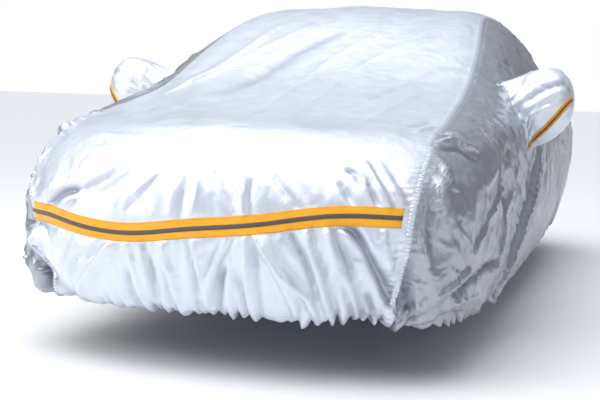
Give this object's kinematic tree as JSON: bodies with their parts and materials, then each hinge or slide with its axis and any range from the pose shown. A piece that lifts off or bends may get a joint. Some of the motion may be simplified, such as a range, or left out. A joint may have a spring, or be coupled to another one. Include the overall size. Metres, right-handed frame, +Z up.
{
  "type": "fitted car cover",
  "caption": "Fitted cover of silver coated cloth in the shape of a saloon car, hollow and open below, with mirror pockets, elastic hem and a yellow marker band across the front.",
  "frame": {"origin": "on the inner face of the cloth, on the centre line at the highest point of the roof, where the car carries the cover", "axes": "+Z up, +X to the car's left, +Y to its rear, so the front faces -Y"},
  "size_m": [2.2402, 4.7264, 1.283],
  "materials": {
    "silver_top": "aluminium-coated woven polyester, smooth, pale and softly reflective",
    "silver_side": "the same coated cloth, creased, reading as a darker silver grey",
    "marker_yellow": "woven orange-yellow marker tape",
    "marker_dark": "dark grey reflective stripe on the tape"
  },
  "bodies": {
    "root": {"centre_panel": "silver_top", "side_front_left": "silver_side", "side_front_right": "silver_side", "side_rear_left": "silver_side", "side_rear_right": "silver_side", "mirror_pocket_left": "silver_top", "mirror_pocket_right": "silver_top", "corner_gather_left": "silver_top", "corner_gather_right": "silver_top", "front_band": "marker_yellow", "pocket_band_left": "marker_yellow", "pocket_band_right": "marker_yellow", "front_band_stripe": "marker_dark", "pocket_stripe_left": "marker_dark", "pocket_stripe_right": "marker_dark"}
  },
  "joints": []
}
